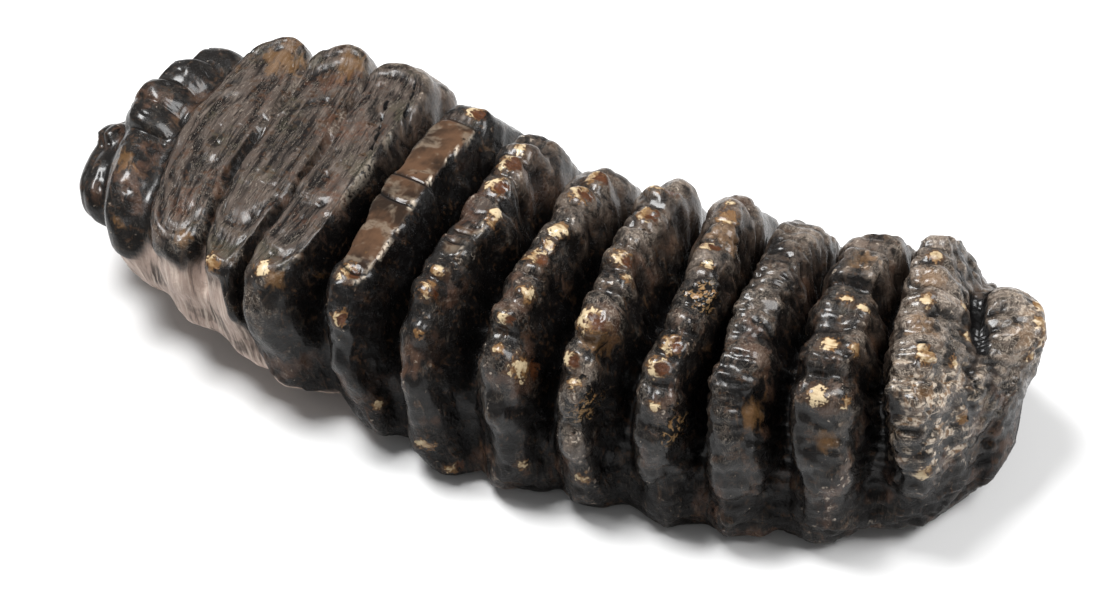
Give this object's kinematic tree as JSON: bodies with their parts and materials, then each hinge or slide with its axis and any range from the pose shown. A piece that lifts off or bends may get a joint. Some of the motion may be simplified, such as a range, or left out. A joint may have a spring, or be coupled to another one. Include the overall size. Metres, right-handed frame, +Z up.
{
  "type": "fossil stegodon molar",
  "caption": "Fossil stegodon molar lying on its root side: a long curved tooth with transverse enamel ridges, knobbed and unworn at one end, ground to a rough platform at the other.",
  "frame": {"origin": "bottom centre of the tooth's box, on the surface that it rests on", "axes": "+X along the tooth from the worn end to the unworn end, +Y across it to the far side, +Z up out of the chewing face"},
  "size_m": [0.2842, 0.119, 0.0624],
  "materials": {
    "fossil_enamel": null
  },
  "bodies": {
    "root": {"molar": "fossil_enamel"}
  },
  "joints": []
}
